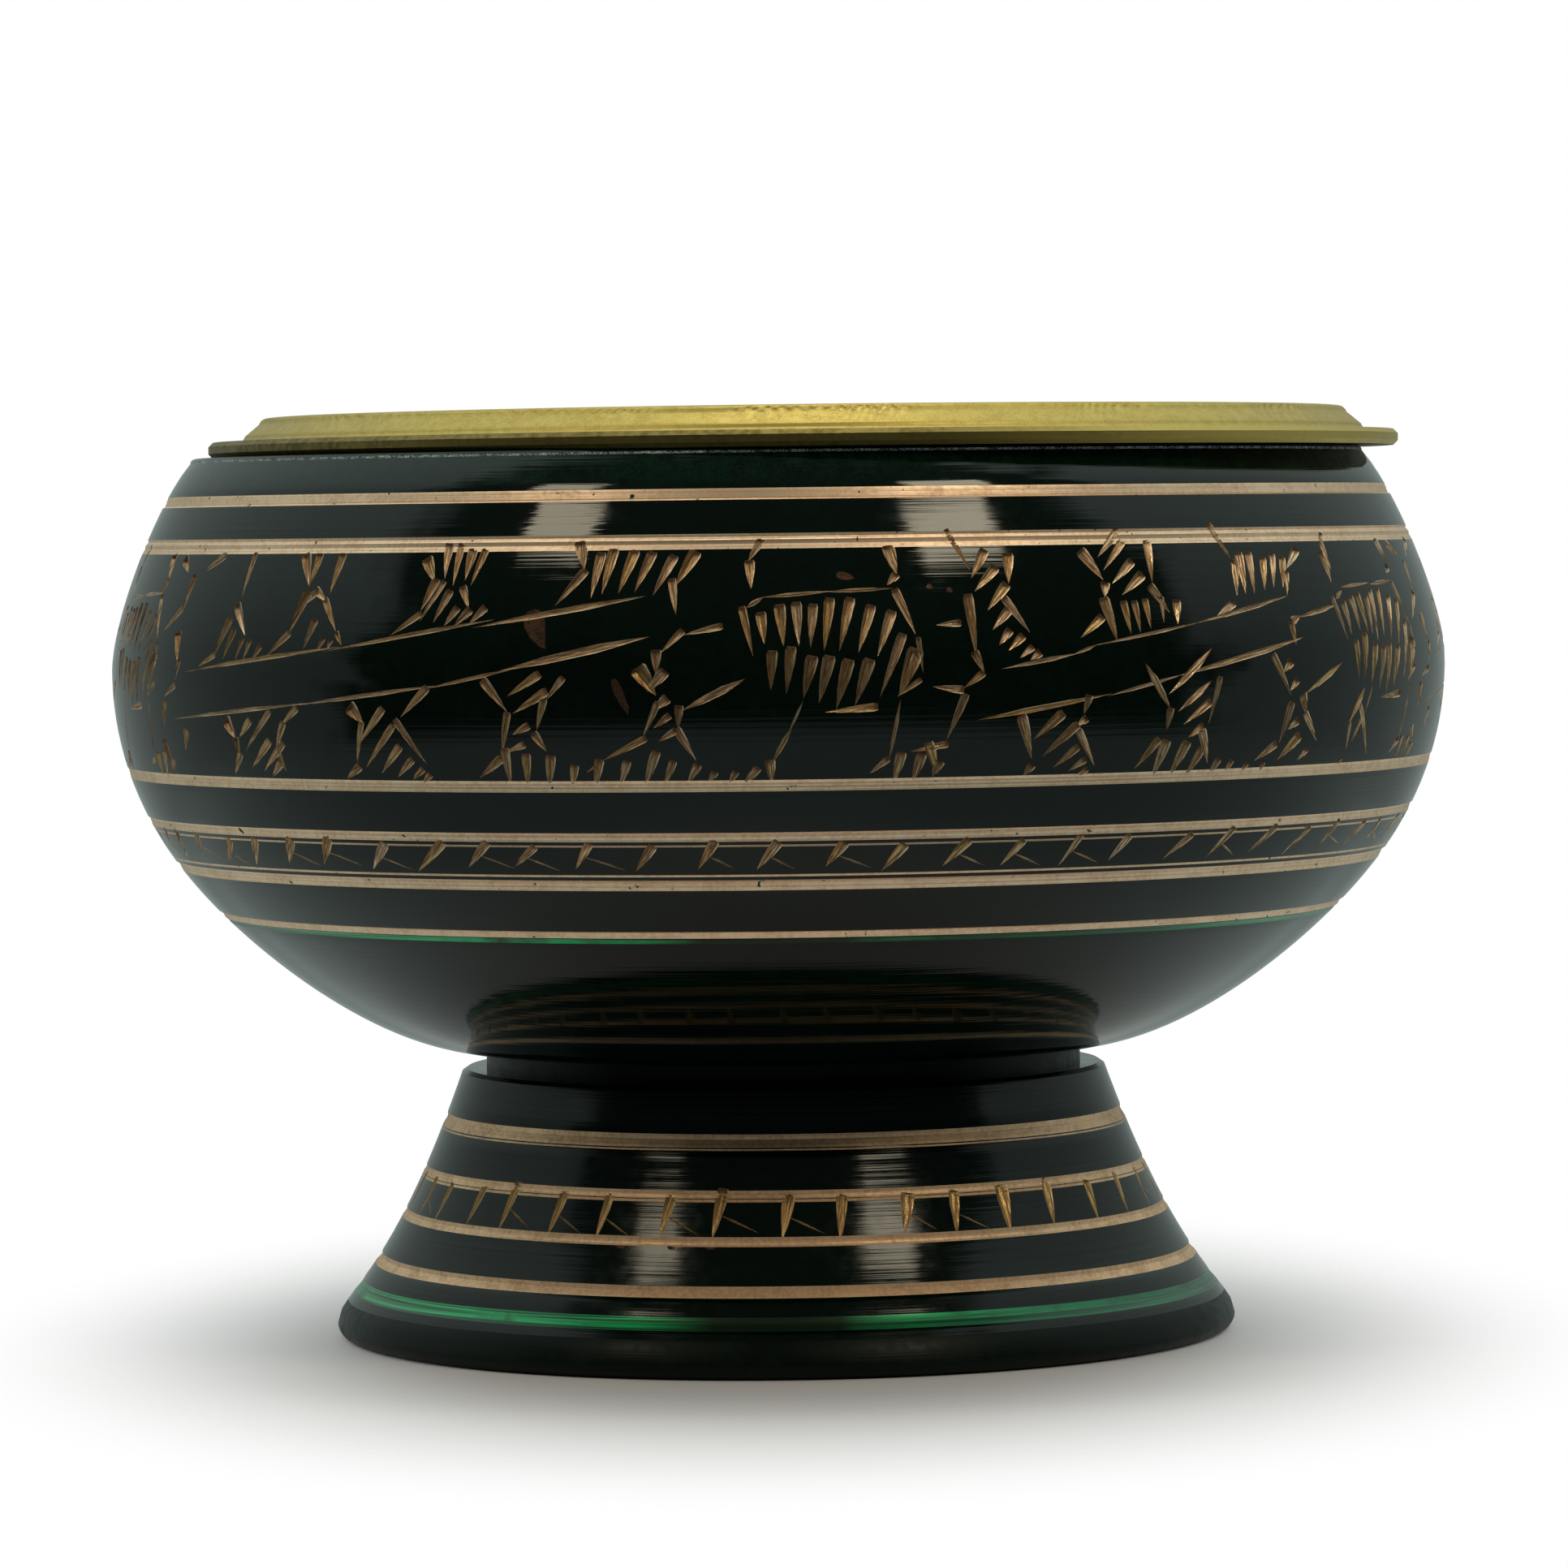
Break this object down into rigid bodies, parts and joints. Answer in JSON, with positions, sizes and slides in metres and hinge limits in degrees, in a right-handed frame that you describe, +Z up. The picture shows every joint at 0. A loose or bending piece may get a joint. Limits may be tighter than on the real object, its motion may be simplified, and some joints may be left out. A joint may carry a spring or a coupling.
{
  "type": "footed charcoal bowl",
  "caption": "Small turned brass footed bowl for charcoal or resin, black-green lacquer with cut lines, and a loose flanged ring carrying a wire screen that lifts off.",
  "frame": {"origin": "on the ground under the bowl's axis, at the middle of the foot", "axes": "+Z up along the bowl's axis; +X to the side the loose screen ring is shifted towards"},
  "size_m": [0.076, 0.076, 0.0525],
  "materials": {
    "lacquered_brass": "glossy black-green lacquer over turned brass",
    "turned_brass": "bright turned brass with lathe marks",
    "plain_brass": "dull brass",
    "mesh_wire": "drawn brass wire, slightly tarnished"
  },
  "bodies": {
    "bowl": {"bowl_shell": "lacquered_brass", "foot": "lacquered_brass", "foot_washer": "plain_brass", "foot_screw": "plain_brass"},
    "screen": {"screen_ring": "turned_brass", "retaining_ring": "turned_brass", "screen_warp_wires": "mesh_wire", "screen_weft_wires": "mesh_wire"}
  },
  "joints": [
    {"name": "screen_lift", "type": "slide", "parent": "bowl", "child": "screen", "axis": [0, 0, 1], "range_m": [0, 0.03]}
  ]
}
